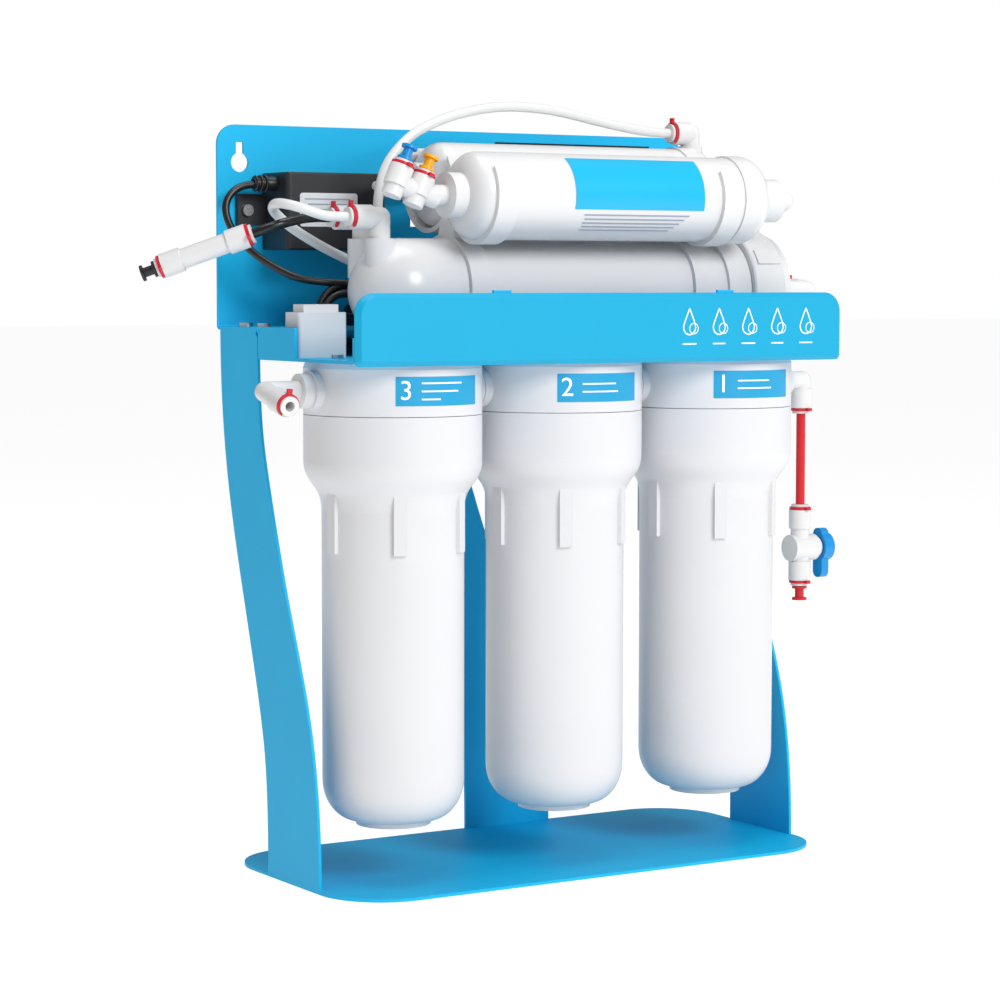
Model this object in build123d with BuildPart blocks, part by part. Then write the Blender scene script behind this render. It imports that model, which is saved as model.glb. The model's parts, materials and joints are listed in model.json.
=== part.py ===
from build123d import *
import os
from math import cos, pi, radians, sin, tan

# Reverse osmosis unit on a folded sheet stand.  Millimetres.
# X is to the right, Y to the back and Z up.  The origin is the middle of the base's underside.

# ---- frame and stand ----
frame_width = 372.0
base_depth = 184.0
base_corner = 45.0
sheet = 2.0
panel_face = 92.0            # Y of the back panel's front face
panel_top = 487.0
panel_corner = 13.0
tray_under = 334.0           # Z of the tray's underside
tray_front = -92.0
ledge_under = 352.5          # Z of the side ledges' underside
ledge_front = 35.0
side_wall_back = 33.0
side_wall_front = -15.0
side_wall_top = 355.0
lip_top = 350.0
tab_width = 13.0
tab_top = 379.0
tab_places = (-80.0, 92.0)
bend = 3.0
screw_radius = 2.0
bolt_slack = 0.2

leg_foot_front = -45.0
leg_foot_back = 24.0
leg_top_front = 36.0
leg_top_back = 89.0
leg_course = ((0.30, 0.165), (0.51, 0.52), (0.73, 0.855))   # share of height, share of sweep
leg_flange = 24.0
bolt_inset = 12.0
bolt_radius = 2.5
rear_leg_shift = 27.5

keyhole_across = 169.5
keyhole_height = 462.3
keyhole_radius = 6.4
keyhole_slot = 5.5
keyhole_rise = 13.2
cable_slot_x = -36.1
cable_slot_width = 7.2
cable_slot_bottom = 421.4
cable_slot_top = 456.0
window_left = 28.0
window_right = 158.0
window_bottom = 400.0
window_top = 480.5

# ---- front cover ----
cover_bottom = 332.4
cover_top = 377.3
cover_depth = 4.0
cover_wall = 1.5
cover_corner = 13.0
cover_bevel = 3.0

# ---- pre-filter housings ----
housing_pitch = 123.0
housing_y = -29.0
sump_radius = 45.5
sump_wall = 4.0
shoulder_radius = 57.0
seam = 300.7
seam_gap = 0.4
sump_bottom = 37.4
foot_radius = 24.0
neck_radius = 48.5
neck_top = 314.5
thread_gap = 0.35
cap_roof = 318.0
port_height = 316.0
port_radius = 13.0
port_bore = 6.6
rib_turn = -114.0            # direction of the first grip rib, in degrees from +X
rib_count = 6
cartridge_radius = 31.5
cartridge_bore = 14.0
cartridge_bottom = 48.2
cartridge_top = 300.0
spigot_radius = 13.8

# ---- membrane housing ----
membrane_y = -12.0
membrane_z = 378.5
membrane_radius = 33.5
membrane_wall = 3.5
dome_centre = -108.0
barrel_end = 150.0
cap_start = 146.5
cap_end = 183.0
cap_radius = 40.6
element_radius = 22.5

# ---- in-line filters and their clips ----
filter_radius = 28.0
filter_wall = 2.5
hub_radius = 14.5
clip_places = (-68.0, 107.0)
clip_width = 15.0
clip_wall = 3.0
clip_lean = 7.9              # degrees that the clips lean to the front
filter_spread = 29.3         # half the distance between the two filter axes
filter_rise = 64.9           # from the membrane axis to the line between the filter axes

# ---- push-in fittings and tube ----
tube_radius = 3.175
socket_radius = 7.8
socket_length = 13.0
collet_radius = 5.0
collet_flange = 6.2
clip_ring = 7.4
clip_thick = 1.8
stem_radius = 5.0
turning_gap = 0.05

# ---- feed valve ----
feed_x = 203.5
valve_centre = 199.5
valve_radius = 9.2
valve_back = 9.0
valve_front = 11.5
ball_radius = 7.0
lever_reach = 21.5
lever_rise = 13.0
lever_boss = 9.8
lever_depth = 8.0
lever_width = 10.0

# ---- pump behind the panel ----
pump_y = 141.0
pump_z = 441.0
motor_radius = 38.0
motor_wall = 2.5
pump_head_radius = 43.0
shaft_radius = 4.0
rotor_radius = 27.0
bearing_gap = 0.05

# ---- power adapter and mains lead ----
adapter_left = -167.0
adapter_right = -79.0
adapter_depth = 36.0
adapter_bottom = 404.8
adapter_top = 455.5
lead_y = 74.0
lead_z = 448.0

# ---- details that repeat ----
cover_gap = 0.1
cover_bottom_corner = 3.5
shoulder_height = 31.0
shoulder_taper = 22.0
rib_length = 40.0
rib_width = 8.4
rib_stand = 2.6
nipple_half = 11.0
spigot_depth = 8.0
cap_screw_ring = 40.0
collar_left = 128.0
head_port_x = -127.0
head_ports_y = (-20.0, 3.0)       # front port carries clean water, rear port the drain
head_elbow_z = 425.0
boss_top = 411.5
boss_radius = 9.5
stem_depth = 12.0
cap_bars = 8
cap_bar_turn = 12.0
element_left = -98.0
element_right = 158.0
element_seal = 134.0
mineral_left = -97.0
mineral_joint = 126.0
carbon_left = -88.0
carbon_joint = 126.0
carbon_boss = 30.0
arch_z = 485.5
clip_foot = 30.0
clip_screw_reach = 26.0
clip_mouth = 44.0
arm_radius = 6.5
stem_reach = 30.0
outlet_x = -214.0
collet_depth = 8.0
tube_depth = 14.0
cap_elbow_reach = 37.0
union_length = 57.0
plug_depth = 12.0
plug_stand = 14.0
plug_gap = 0.05
plug_head = 5.2
running_gap = 0.05
valve_top = 226.0
valve_low = 177.0
shutoff_x = 40.0
shutoff_y = 62.0
shutoff_reach = 32.0
feed_hole_x = 103.7
feed_hole_z = 368.9
switch_left = -178.0
switch_front = -6.0
switch_width = 35.0
switch_depth = 20.0
switch_seam = 355.0
switch_top = 369.7
adapter_ear = 14.0
relief_radius = 5.0
dc_radius = 2.2
grommet_height = 4.0
saddle_floor = 3.0
saddle_places = (44.0, 92.0)
motor_left = 24.0
motor_right = 112.0
pump_head_right = 158.0
bearing_radius = 11.0
lead_radius = 2.75
hank_x = -115.0
hank_y = 27.3
hank_z = 361.0
hank_length = 70.0
hank_height = 46.0
hank_band = 13.0
hank_thick = 10.4
plug_right = -60.0
plug_z = 361.5

BASE = (Align.CENTER, Align.CENTER, Align.MIN)
FLOOR = (Align.MIN, Align.MIN, Align.MIN)
half_width = frame_width / 2
panel_back = panel_face + sheet
tray_top = tray_under + sheet
housing_places = (housing_pitch, 0.0, -housing_pitch)
UP, DOWN = (0, 0, 1), (0, 0, -1)
LEFT, RIGHT = (-1, 0, 0), (1, 0, 0)
FRONT, BACK = (0, -1, 0), (0, 1, 0)


os.makedirs("parts", exist_ok=True)


nodes = {}


def save(part, name):
    """Keep a piece's solids under its node's name; alike pieces share one node."""
    nodes.setdefault(name, []).extend(part.solids())


def rod(start, way, radius, length, mode=Mode.ADD):
    """Add or cut a round bar from a start point along a direction."""
    with Locations(Plane(start, z_dir=way)):
        Cylinder(radius, length, align=BASE, mode=mode)


def slab(low, high, mode=Mode.ADD):
    """Add or cut a block between two opposite corners."""
    sizes = [b - a for a, b in zip(low, high)]
    with Locations(low):
        Box(*sizes, align=FLOOR, mode=mode)


def along(point, way, distance):
    return tuple(p + w * distance for p, w in zip(point, way))


def turned_x(y, z, outline, mode=Mode.ADD):
    """Turn an outline of (x, radius) points about a line along X."""
    with BuildSketch(Plane((0, y, z), x_dir=(1, 0, 0), z_dir=(0, -1, 0))) as section:
        with BuildLine():
            Polyline(*outline, close=True)
        make_face()
    revolve(section.sketch, axis=Axis((0, y, z), (1, 0, 0)), mode=mode)


def turned_z(x, y, outline, mode=Mode.ADD):
    """Turn an outline of (radius, z) points about a vertical line."""
    with BuildSketch(Plane((x, y, 0), x_dir=(1, 0, 0), z_dir=(0, -1, 0))) as section:
        with BuildLine():
            Polyline(*outline, close=True)
        make_face()
    revolve(section.sketch, axis=Axis((x, y, 0), (0, 0, 1)), mode=mode)


def pad_reach(low_y):
    """Height above the membrane axis that a raised pad on the barrel reaches."""
    return 30.0 if low_y > -30 else 18.0


def hub_reach(is_open):
    """Length of an in-line filter's end cap beyond its joint."""
    return 36.0 if is_open else 24.0


ledge_top = ledge_under + sheet
lean = radians(clip_lean)
pair_y = membrane_y - filter_rise * sin(lean)
pair_z = membrane_z + filter_rise * cos(lean)
front_axis = (pair_y - filter_spread * cos(lean), pair_z - filter_spread * sin(lean))
rear_axis = (pair_y + filter_spread * cos(lean), pair_z + filter_spread * sin(lean))
mineral_right = mineral_joint + 36.0
cap_screw_places = [(x + cap_screw_ring * cos(step * pi / 2), housing_y + cap_screw_ring * sin(step * pi / 2))
                    for x in housing_places for step in range(4)]
clip_screw_places = [(x, membrane_y + side * clip_screw_reach) for x in clip_places for side in (-1, 1)]
adapter_screw_places = [(adapter_left + 0.5, adapter_bottom + 26), (adapter_right + adapter_ear - 7, adapter_bottom + 26)]
bracket_screw_places = [(x, z) for x in (window_left - 8, window_right + 8) for z in (window_bottom + 8, window_top - 8)]

# the ends that open for a tube or a plug
outlet_way = (0, -cos(radians(13.6)), -sin(radians(13.6)))
outlet_mouth = along((outlet_x, housing_y, port_height), outlet_way, stem_reach)
inlet_mouth = (feed_x, housing_y, 297.0)
product_mouth = (head_port_x - 20, head_ports_y[0], head_elbow_z)
drain_mouth = (head_port_x - 20, head_ports_y[1], head_elbow_z)
feed_mouth = (cap_end + cap_elbow_reach, membrane_y + 18, membrane_z)
arch_mouth = (carbon_joint - 6, rear_axis[0], arch_z)
link_start = (carbon_left - 9, rear_axis[0] + 16, rear_axis[1])
link_end = (mineral_right + 9, front_axis[0] + 16, front_axis[1])
plug_way = (sin(radians(24)), 0, cos(radians(24)))
tee_centre = (-111.0, *front_axis)
tee_up = (-cos(radians(18)), 0, sin(radians(18)))
tee_down = (cos(radians(18)), 0, -sin(radians(18)))
tee_mouths = [(-112.5, front_axis[0], 450.0), (-128.0, front_axis[0], 456.0)][::-1]
union_way = tuple(Vector(-0.798, 0.499, -0.339).normalized())
union_start = (-206.0, 10.0, 413.0)
union_end = along(union_start, union_way, union_length)
valve_top_mouth = (feed_x, housing_y, valve_top)
valve_low_mouth = (feed_x, housing_y, valve_low)
shutoff_in = (shutoff_x - shutoff_reach, shutoff_y - 9, ledge_top + 10)
shutoff_out = (shutoff_x - shutoff_reach, shutoff_y + 9, ledge_top + 10)
shutoff_feed = (shutoff_x + shutoff_reach, shutoff_y, ledge_top + 10)
pump_out = (pump_head_right + 16, pump_y, pump_z - 20)
pump_in = (pump_head_right + 16, pump_y, pump_z + 20)

# ---------------------------------------------------------------- stand

with BuildPart() as base_plate:
    with BuildSketch():
        RectangleRounded(frame_width, base_depth, base_corner)
    extrude(amount=sheet)
save(base_plate.part, "base_plate")


def leg_outline(plane):
    """Draw the swept leg on a plane, foot at the bottom, and give the sketch back."""
    def edge(foot, top):
        rise = ledge_under - sheet
        middle = [(foot + (top - foot) * sweep, sheet + rise * height) for height, sweep in leg_course]
        return [(foot, sheet), *middle, (top, ledge_under)]

    front = edge(leg_foot_front, leg_top_front)
    back = edge(leg_foot_back, leg_top_back)
    with BuildSketch(plane) as outline:
        with BuildLine():
            Spline(*front, tangents=[(0, 1), (0, 1)])
            Line(front[-1], back[-1])
            Spline(*reversed(back), tangents=[(0, -1), (0, -1)])
            Line(back[0], front[0])
        make_face()
    return outline.sketch


flange_span = leg_top_back - leg_top_front
bolt_places_y = [leg_top_front + flange_span * share for share in (0.25, 0.75)]
bolt_places = [(side * (half_width - bolt_inset), y) for side in (-1, 1) for y in bolt_places_y]

for side, name in ((-1, "leg_left"), (1, "leg_right")):
    face = side * half_width
    with BuildPart() as leg:
        extrude(leg_outline(Plane.YZ.offset(face)), amount=-side * sheet)
        low_x, high_x = sorted((face, face - side * leg_flange))
        slab((low_x, leg_top_front, ledge_under - sheet), (high_x, leg_top_back, ledge_under))
        slab((low_x, leg_foot_front, tray_under - 0.1), (high_x, ledge_front + 0.1, ledge_under), Mode.SUBTRACT)
        slab((low_x, ledge_front, ledge_under - bend - 0.1), (high_x, ledge_front + bend + 0.1, ledge_under),
             Mode.SUBTRACT)
        for x, y in bolt_places:
            if x * side > 0:
                rod((x, y, ledge_under - sheet), UP, bolt_radius + bolt_slack, sheet, Mode.SUBTRACT)
    save(leg.part, name)

rear_face = base_depth / 2
rear_span = [rear_leg_shift - y for y in (leg_top_back, leg_top_front)]
rear_bolts = [(rear_leg_shift - y, rear_face - bolt_inset) for y in bolt_places_y]
bolt_places += rear_bolts
rear_plane = Plane((rear_leg_shift, rear_face, 0), x_dir=(-1, 0, 0), z_dir=(0, 1, 0))
with BuildPart() as leg_rear:
    extrude(leg_outline(rear_plane), amount=-sheet)
    slab((rear_span[0], rear_face - leg_flange, ledge_under - sheet), (rear_span[1], rear_face, ledge_under))
    for x, y in rear_bolts:
        rod((x, y, ledge_under - sheet), UP, bolt_radius + bolt_slack, sheet, Mode.SUBTRACT)
save(leg_rear.part, "leg_rear")

# ---------------------------------------------------------------- folded frame

with BuildPart() as main_frame:
    with BuildSketch(Plane.YZ.offset(-half_width)) as profile:
        with BuildLine():
            FilletPolyline((tray_front, lip_top), (tray_front, tray_under), (ledge_front, tray_under),
                           (ledge_front, ledge_under), (panel_back, ledge_under), (panel_back, panel_top),
                           radius=bend)
            offset(amount=sheet, side=Side.LEFT, closed=True)
        make_face()
    extrude(amount=frame_width)
    top_corners = main_frame.edges().filter_by(Axis.Y).group_by(Axis.Z)[-1]
    fillet(top_corners, panel_corner)
    for side in (-1, 1):
        low_x, high_x = sorted((side * half_width, side * (half_width - sheet)))
        slab((low_x, side_wall_front, tray_under + sheet / 2), (high_x, side_wall_back, side_wall_top))
        rod((side * keyhole_across, panel_back, keyhole_height), FRONT, keyhole_radius, sheet, Mode.SUBTRACT)
        slab((side * keyhole_across - keyhole_slot / 2, panel_face, keyhole_height),
             (side * keyhole_across + keyhole_slot / 2, panel_back, keyhole_height + keyhole_rise), Mode.SUBTRACT)
    slab((cable_slot_x - cable_slot_width / 2, panel_face, cable_slot_bottom),
         (cable_slot_x + cable_slot_width / 2, panel_back, cable_slot_top), Mode.SUBTRACT)
    slab((window_left, panel_face, window_bottom), (window_right, panel_back, window_top), Mode.SUBTRACT)
    rod((feed_hole_x, panel_face, feed_hole_z), BACK, tube_radius + 1.3, sheet, Mode.SUBTRACT)
    for x in tab_places:
        slab((x - tab_width / 2, tray_front, lip_top - 1), (x + tab_width / 2, tray_front + sheet, tab_top))
    for x, y in bolt_places:
        rod((x, y, ledge_under), UP, bolt_radius + bolt_slack, sheet, Mode.SUBTRACT)
    for x, y in cap_screw_places + clip_screw_places:
        rod((x, y, tray_under), UP, screw_radius + bolt_slack, sheet, Mode.SUBTRACT)
    for x, z in adapter_screw_places + bracket_screw_places:
        rod((x, panel_face, z), BACK, screw_radius + bolt_slack, sheet, Mode.SUBTRACT)
save(main_frame.part, "main_frame")

with BuildPart() as stand_bolts:
    for x, y in bolt_places:
        rod((x, y, ledge_under - sheet), UP, bolt_radius, 2 * sheet)
        rod((x, y, ledge_under + sheet), UP, 4.6, 2.6)
        with BuildSketch(Plane((x, y, ledge_under - sheet))):
            RegularPolygon(4.6, 6)
        extrude(amount=-3.6)
save(stand_bolts.part, "screws")

# ---------------------------------------------------------------- front cover

cover_back = tray_front - cover_gap
with BuildPart() as front_cover:
    with BuildSketch(Plane.XZ.offset(-cover_back)) as plate:
        with Locations((0, (cover_bottom + cover_top) / 2)):
            Rectangle(frame_width, cover_top - cover_bottom)
        fillet(plate.vertices().group_by(Axis.Y)[-1], cover_corner)
        fillet(plate.vertices().group_by(Axis.Y)[0], cover_bottom_corner)
    extrude(amount=cover_depth)
    chamfer(front_cover.faces().sort_by(Axis.Y)[0].edges(), cover_bevel)
    inner_wall = cover_bevel + cover_wall
    slab((-half_width + inner_wall, cover_back - cover_depth + cover_wall, cover_bottom + inner_wall),
         (half_width - inner_wall, cover_back, cover_top - inner_wall), Mode.SUBTRACT)
save(front_cover.part, "front_cover")

# ---------------------------------------------------------------- pre-filter housings

shoulder_end = seam - shoulder_height
waist_start = shoulder_end - shoulder_taper
rib_top = waist_start + 6.0
rib_bottom = rib_top - rib_length
port_reach = housing_pitch / 2 - 0.2
wall_in = sump_radius - sump_wall
seal_seat = neck_radius - 4.0
cap_top = tray_under - 0.1

with BuildPart() as link_nipples:
    for x in (-housing_pitch / 2, housing_pitch / 2):
        rod((x - nipple_half, housing_y, port_height), RIGHT, port_bore, 2 * nipple_half)
        rod((x - nipple_half, housing_y, port_height), RIGHT, port_bore - 2.5, 2 * nipple_half, Mode.SUBTRACT)
save(link_nipples.part, "link_nipples")

for number, x in enumerate(housing_places, start=1):
    with BuildPart() as cap:
        turned_z(x, housing_y, [(0, seam), (shoulder_radius, seam), (shoulder_radius, cap_top - 4),
                                (shoulder_radius - 1.5, cap_top), (0, cap_top)])
        for way in (LEFT, RIGHT):
            rod((x, housing_y, port_height), way, port_radius, port_reach)
        # the thread socket for the sump's neck, and the spigot that the cartridge seals on
        rod((x, housing_y, seam), UP, neck_radius + thread_gap, cap_roof - seam, Mode.SUBTRACT)
        rod((x, housing_y, cartridge_top - spigot_depth), UP, spigot_radius,
            cap_roof - cartridge_top + spigot_depth)
        rod((x, housing_y, cartridge_top - spigot_depth), UP, spigot_radius - 4, spigot_depth + 8, Mode.SUBTRACT)
        for way in (LEFT, RIGHT):
            rod(along((x, housing_y, port_height), way, neck_radius - 6), way, port_bore, port_reach,
                Mode.SUBTRACT)
        for step in range(4):
            angle = step * pi / 2
            spot = (x + cap_screw_ring * cos(angle), housing_y + cap_screw_ring * sin(angle), cap_top)
            rod(spot, DOWN, screw_radius, cap_top - cap_roof - 4, Mode.SUBTRACT)
    save(cap.part, "filter_heads")

    with BuildPart() as sump:
        with BuildSketch(Plane((x, housing_y, 0), x_dir=(1, 0, 0), z_dir=(0, -1, 0))) as section:
            with BuildLine():
                Polyline((0, sump_bottom), (foot_radius, sump_bottom), (foot_radius, sump_bottom + 3))
                Spline((foot_radius, sump_bottom + 3), (sump_radius - 6, sump_bottom + 11),
                       (sump_radius, sump_bottom + 30), tangents=[(1, 0.05), (0, 1)])
                Line((sump_radius, sump_bottom + 30), (sump_radius, waist_start - 8))
                Spline((sump_radius, waist_start - 8), (sump_radius + 2, waist_start + 2),
                       (shoulder_radius, shoulder_end), tangents=[(0.05, 1), (0.05, 1)])
                Polyline((shoulder_radius, shoulder_end), (shoulder_radius, seam - seam_gap),
                         (neck_radius, seam - seam_gap), (neck_radius, neck_top), (wall_in + 2, neck_top),
                         (wall_in + 2, seam), (wall_in, seam - 8), (wall_in, sump_bottom + 32),
                         (wall_in - 6, sump_bottom + 11), (foot_radius - 4, sump_bottom + 5),
                         (0, sump_bottom + 5), (0, sump_bottom))
            make_face()
        revolve(section.sketch, axis=Axis((x, housing_y, 0), (0, 0, 1)))
        for step in range(rib_count):
            angle = radians(rib_turn + 360 / rib_count * step)
            way = (cos(angle), sin(angle), 0)
            centre = along((x, housing_y, rib_bottom), way, sump_radius - 1)
            with Locations(Plane(centre, x_dir=way, z_dir=(0, 0, 1))):
                Box(rib_stand + 1, rib_width, rib_length, align=(Align.MIN, Align.CENTER, Align.MIN))
    save(sump.part, f"sump_{number}")

    with BuildPart() as cartridge:
        rod((x, housing_y, cartridge_bottom), UP, cartridge_radius, cartridge_top - cartridge_bottom)
        for z in (cartridge_bottom, cartridge_top - 8):
            rod((x, housing_y, z), UP, cartridge_radius + 1.5, 8)
        rod((x, housing_y, cartridge_bottom + 4), UP, spigot_radius, cartridge_top, Mode.SUBTRACT)
    save(cartridge.part, "filter_cartridges")

with BuildPart() as sump_seals:
    for x in housing_places:
        with Locations((x, housing_y, (neck_top + cap_roof) / 2)):
            Torus(seal_seat + 1, (cap_roof - neck_top) / 2)
save(sump_seals.part, "sump_seals")

with BuildPart() as tray_screws:
    for x, y in cap_screw_places:
        rod((x, y, cap_top - 8), UP, screw_radius, tray_top - cap_top + 8)
        rod((x, y, tray_top), UP, 3.8, 2.4)
save(tray_screws.part, "screws")

# ---------------------------------------------------------------- membrane housing

barrel_bore = membrane_radius - membrane_wall
with BuildPart() as membrane_housing:
    with BuildSketch(Plane((0, membrane_y, membrane_z), x_dir=(1, 0, 0), z_dir=(0, -1, 0))) as section:
        with BuildLine():
            RadiusArc((dome_centre - membrane_radius, 0), (dome_centre, membrane_radius), membrane_radius)
            Polyline((dome_centre, membrane_radius), (collar_left, membrane_radius),
                     (collar_left, membrane_radius + 2.5), (cap_start - 0.4, membrane_radius + 2.5),
                     (cap_start - 0.4, membrane_radius), (barrel_end, membrane_radius),
                     (barrel_end, barrel_bore), (dome_centre, barrel_bore),
                     (dome_centre - 20, barrel_bore - 13), (dome_centre - 24, 0),
                     (dome_centre - membrane_radius, 0))
        make_face()
    revolve(section.sketch, axis=Axis((0, membrane_y, membrane_z), (1, 0, 0)))
    for y in head_ports_y:
        rod((head_port_x, y, membrane_z + 8), UP, boss_radius, boss_top - membrane_z - 8)
    turned_x(membrane_y, membrane_z, [(dome_centre, 0), (dome_centre - 20, 0), (dome_centre - 16, barrel_bore - 14),
                                      (dome_centre, barrel_bore)], Mode.SUBTRACT)
    turned_x(membrane_y, membrane_z, [(dome_centre, 0), (dome_centre, barrel_bore), (0, barrel_bore), (0, 0)],
             Mode.SUBTRACT)
    for y in head_ports_y:
        rod((head_port_x, y, boss_top - stem_depth), UP, stem_radius, stem_depth, Mode.SUBTRACT)
    for x in clip_places:
        left_x = x + clip_width / 2 + 3
        for low_y in (membrane_y - 8, membrane_y - 26):
            slab((left_x if x < 0 else x - clip_width / 2 - 24, low_y, membrane_z),
                 (left_x + 17 if x < 0 else x - clip_width / 2 - 3, low_y + 12, membrane_z + pad_reach(low_y)))
    turned_x(membrane_y, membrane_z, [(-100, 0), (-100, barrel_bore), (140, barrel_bore), (140, 0)], Mode.SUBTRACT)
save(membrane_housing.part, "membrane_housing")

with BuildPart() as membrane_cap:
    turned_x(membrane_y, membrane_z,
             [(cap_start, 0), (cap_start, cap_radius - 1), (cap_start + 1, cap_radius),
              (cap_end - 12, cap_radius), (cap_end - 5, cap_radius - 3), (cap_end, cap_radius - 10),
              (cap_end, 0)])
    for step in range(cap_bars):
        angle = radians(cap_bar_turn + 360 / cap_bars * step)
        way = (0, cos(angle), sin(angle))
        centre = along((cap_start + 4, membrane_y, membrane_z), way, cap_radius - 2.1)
        with Locations(Plane(centre, x_dir=way, z_dir=(1, 0, 0))):
            Box(3.5, 11, cap_end - cap_start - 18, align=(Align.MIN, Align.CENTER, Align.MIN))
    turned_x(membrane_y, membrane_z,
             [(cap_start - 1, 0), (cap_start - 1, membrane_radius + thread_gap),
              (barrel_end + 0.3, membrane_radius + thread_gap), (barrel_end + 0.3, element_radius + 1.5),
              (element_right + 2, element_radius + 1.5), (element_right + 2, 8), (cap_end - 14, 8),
              (cap_end - 14, 0)], Mode.SUBTRACT)
    rod((cap_end - 16, membrane_y, membrane_z), RIGHT, stem_radius + turning_gap, 20, Mode.SUBTRACT)
save(membrane_cap.part, "membrane_cap")

with BuildPart() as membrane_element:
    turned_x(membrane_y, membrane_z,
             [(element_left, 4), (element_left, element_radius), (element_seal, element_radius),
              (element_seal, barrel_bore), (element_seal + 6, barrel_bore), (element_seal + 6, element_radius),
              (element_right, element_radius), (element_right, 4)])
save(membrane_element.part, "membrane_element")

# ---------------------------------------------------------------- in-line filters

filter_inner = filter_radius - filter_wall
rim = filter_radius + 1.3
filters = (("mineral_filter", front_axis, mineral_left, mineral_joint),
           ("carbon_filter", rear_axis, carbon_left, carbon_joint))
for name, (y, z), left, joint in filters:
    line = Axis((0, y, z), (1, 0, 0))
    plane = Plane((0, y, z), x_dir=(1, 0, 0), z_dir=(0, -1, 0))
    with BuildPart() as canister:
        with BuildSketch(plane) as section:
            with BuildLine():
                Polyline((left, stem_radius), (left, hub_radius), (left + 10, hub_radius))
                Spline((left + 10, hub_radius), (left + 13, filter_radius - 5), (left + 23, filter_radius),
                       tangents=[(0.1, 1), (1, 0)])
                Polyline((left + 23, filter_radius), (joint, filter_radius), (joint, filter_inner),
                         (left + 25, filter_inner), (left + 16, stem_radius + 4), (left + 16, stem_radius),
                         (left, stem_radius))
            make_face()
        revolve(section.sketch, axis=line)
    save(canister.part, name)

    open_hub = name == "mineral_filter"
    with BuildPart() as end_cap:
        with BuildSketch(plane) as section:
            with BuildLine():
                Polyline((joint - 8, filter_radius), (joint - 8, rim), (joint + 4, rim))
                Spline((joint + 4, rim), (joint + 15, rim - 6), (joint + 20, hub_radius),
                       tangents=[(1, 0), (0, -1)])
                Polyline((joint + 20, hub_radius), (joint + hub_reach(open_hub), hub_radius),
                         (joint + hub_reach(open_hub), 0), (joint, 0), (joint, filter_radius),
                         (joint - 8, filter_radius))
            make_face()
        revolve(section.sketch, axis=line)
        if open_hub:
            rod((joint, y, z), RIGHT, stem_radius, hub_reach(True), Mode.SUBTRACT)
        else:
            rod((joint + 8, y, z + 10), UP, boss_radius - 1, carbon_boss - 10)
            rod((joint + 8, y, z), UP, stem_radius, carbon_boss, Mode.SUBTRACT)
    save(end_cap.part, "filter_end_caps")

with BuildPart() as filter_media:
    for name, (y, z), left, joint in filters:
        rod((left + 30, y, z), RIGHT, filter_inner, joint - left - 34)
save(filter_media.part, "filter_cartridges")

for x in clip_places:
    with BuildPart() as clip:
        plane = Plane.YZ.offset(x - clip_width / 2)
        with BuildSketch(plane) as section:
            with Locations((membrane_y, membrane_z)):
                Circle(membrane_radius + clip_wall)
            for y, z in (front_axis, rear_axis):
                with Locations((y, z)):
                    Circle(filter_radius + clip_wall)
            with BuildLine():
                Polyline((pair_y - 6, pair_z), (pair_y + 6, pair_z), (membrane_y + 12, membrane_z + 20),
                         (membrane_y - 12, membrane_z + 20), close=True)
            make_face()
            with Locations((membrane_y, (tray_top + membrane_z) / 2)):
                Rectangle(clip_foot, membrane_z - tray_top)
            with Locations((membrane_y, tray_top + 2)):
                Rectangle(2 * clip_screw_reach + 12, 4)
            with Locations((membrane_y, membrane_z)):
                Circle(membrane_radius, mode=Mode.SUBTRACT)
            for y, z in (front_axis, rear_axis):
                with Locations((y, z)):
                    Circle(filter_radius, mode=Mode.SUBTRACT)
                with Locations(Location((y, z), clip_lean + 180)):
                    with Locations((0, -filter_radius)):
                        Rectangle(clip_mouth, 2 * filter_radius, mode=Mode.SUBTRACT)
        extrude(amount=clip_width)
        for side in (-1, 1):
            rod((x, membrane_y + side * clip_screw_reach, tray_top), UP, screw_radius, 4, Mode.SUBTRACT)
    save(clip.part, "twin_clips")

with BuildPart() as clip_screws:
    for x, y in clip_screw_places:
        rod((x, y, tray_under), UP, screw_radius, sheet + 4)
        rod((x, y, tray_top + 4), UP, 3.6, 2.4)
save(clip_screws.part, "screws")

# ---------------------------------------------------------------- push-in fittings


def elbow(corner, arms):
    """Add plain round arms that leave a rounded corner."""
    for way, reach in arms:
        rod(corner, way, arm_radius, reach)
    with Locations(corner):
        Sphere(arm_radius)


def opposite(way):
    return tuple(-w for w in way)


def mouth(*ends):
    """Add sockets that open at given points, then bore each for a collet and a tube."""
    for point, way in ends:
        rod(point, opposite(way), socket_radius, socket_length)
    for point, way in ends:
        rod(point, opposite(way), collet_radius, collet_depth, Mode.SUBTRACT)
        rod(point, opposite(way), tube_radius, tube_depth, Mode.SUBTRACT)


with BuildPart() as outlet_elbow:
    outlet_corner = (outlet_x, housing_y, port_height)
    elbow(outlet_corner, [(RIGHT, stem_reach), (outlet_way, stem_reach)])
    rod(along((-housing_pitch - port_reach, housing_y, port_height), LEFT, 0), LEFT, 11.0, 7)
    rod((-housing_pitch - port_reach, housing_y, port_height), RIGHT, port_bore, 9)
    mouth((outlet_mouth, outlet_way))
save(outlet_elbow.part, "port_elbows")

with BuildPart() as inlet_elbow:
    elbow((feed_x, housing_y, port_height), [(LEFT, feed_x - housing_pitch - port_reach), (DOWN, 12)])
    rod((housing_pitch + port_reach, housing_y, port_height), RIGHT, 11.0, 5)
    rod((housing_pitch + port_reach, housing_y, port_height), LEFT, port_bore, 9)
    mouth((inlet_mouth, DOWN))
save(inlet_elbow.part, "port_elbows")

for y, point in zip(head_ports_y, (product_mouth, drain_mouth)):
    with BuildPart() as head_elbow:
        elbow((head_port_x, y, head_elbow_z), [(DOWN, head_elbow_z - boss_top), (LEFT, 10)])
        rod((head_port_x, y, boss_top), DOWN, stem_radius, stem_depth)
        mouth((point, LEFT))
    save(head_elbow.part, "head_elbows")

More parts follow.
